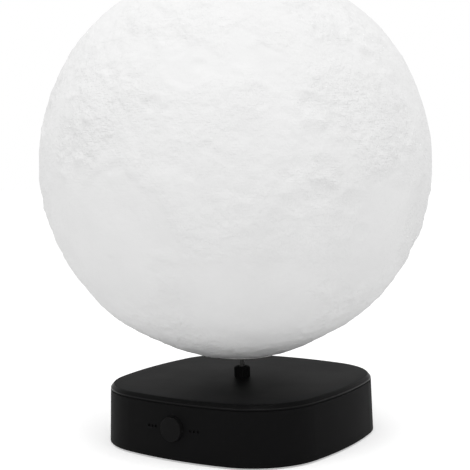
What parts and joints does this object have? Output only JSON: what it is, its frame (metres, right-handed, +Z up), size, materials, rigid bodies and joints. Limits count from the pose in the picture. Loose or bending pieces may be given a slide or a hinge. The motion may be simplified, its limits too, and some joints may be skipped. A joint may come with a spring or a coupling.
{
  "type": "moon lamp",
  "caption": "Table lamp with a pale printed moon globe that turns on a slim spindle above a low black rounded-square base with a push button.",
  "frame": {"origin": "middle of the footprint, on the table under the rubber feet", "axes": "+Z up along the spindle, -Y towards the push button, +Y towards the power inlet"},
  "size_m": [0.18, 0.18, 0.2174],
  "materials": {
    "black_case": "satin moulded",
    "black_collar": "satin moulded, fluted",
    "zinc_steel": "zinc plated",
    "steel": "plain",
    "black_rubber": "matte",
    "bronze": "sintered bronze",
    "brass": "plain",
    "white_acetal": "moulded",
    "clear_sleeve": "drawn tube",
    "motor_can": "nickel plated",
    "board_green": "lacquered board",
    "board_white": "lacquered board",
    "white_chip": "moulded",
    "emitter_yellow": "phosphor gel",
    "socket_white": "moulded",
    "smoked_light": "smoked",
    "lead_red": "insulated wire",
    "lead_white": "insulated wire",
    "moon_print": "printed in fine layers",
    "cap_plastic": "moulded",
    "aluminium": "turned",
    "diffuser_white": "milky"
  },
  "bodies": {
    "base": {"base_housing": "black_case", "top_cover": "black_case", "bottom_plate": "zinc_steel", "cover_screws": "zinc_steel", "rubber_feet": "black_rubber", "neck_bush": "bronze", "neck_collar": "black_collar", "drive_bracket": "zinc_steel", "bracket_posts": "brass", "bracket_screws": "steel", "lower_bush": "bronze", "thrust_washer": "white_acetal", "gear_motor": "motor_can", "motor_screws": "steel", "brush_block": "black_case", "core_brush": "brass", "tube_brush": "brass", "tact_switch": "black_case", "indicator_lights": "smoked_light", "control_board": "board_green", "indicator_chips": "white_chip", "board_socket": "socket_white", "controller_chip": "black_case", "board_screws": "steel", "power_board": "board_green", "board_spacers": "black_case", "power_board_screws": "steel", "power_inlet": "black_case", "inlet_pin": "steel", "power_parts": "black_case", "supply_socket": "socket_white", "motor_leads": "lead_red", "brush_leads": "lead_white", "supply_leads": "lead_red"},
    "spindle": {"spindle_tube": "steel", "insulating_sleeve": "clear_sleeve", "spindle_core": "brass", "drive_gear": "white_acetal"},
    "pinion": {"motor_pinion": "white_acetal", "motor_shaft": "steel"},
    "button": {"power_button": "black_case", "button_plunger": "black_case"},
    "globe": {"moon_globe": "moon_print", "globe_cap": "cap_plastic", "cap_screws": "steel", "ring_contact": "brass", "tip_contact": "brass", "heat_spreader": "aluminium", "light_board": "board_white", "light_emitters": "emitter_yellow", "light_screws": "steel", "light_leads": "lead_white", "light_diffuser": "diffuser_white"}
  },
  "joints": [
    {"name": "spindle_turn", "type": "hinge", "parent": "base", "child": "spindle", "pos_m": [0, 0, 0.02], "axis": [0, 0, 1], "continuous": true},
    {"name": "pinion_turn", "type": "hinge", "parent": "base", "child": "pinion", "pos_m": [0.0252, 0, 0.02], "axis": [0, 0, 1], "continuous": true},
    {"name": "globe_lift", "type": "slide", "parent": "spindle", "child": "globe", "axis": [0, 0, 1], "range_m": [0, 0.03]},
    {"name": "button_press", "type": "slide", "parent": "base", "child": "button", "axis": [0, 1, 0], "range_m": [0, 0.0006], "stiffness_N_per_m": 400}
  ],
  "couplings": [
    {"joint": "pinion_turn", "follows": "spindle_turn", "ratio": -3}
  ]
}
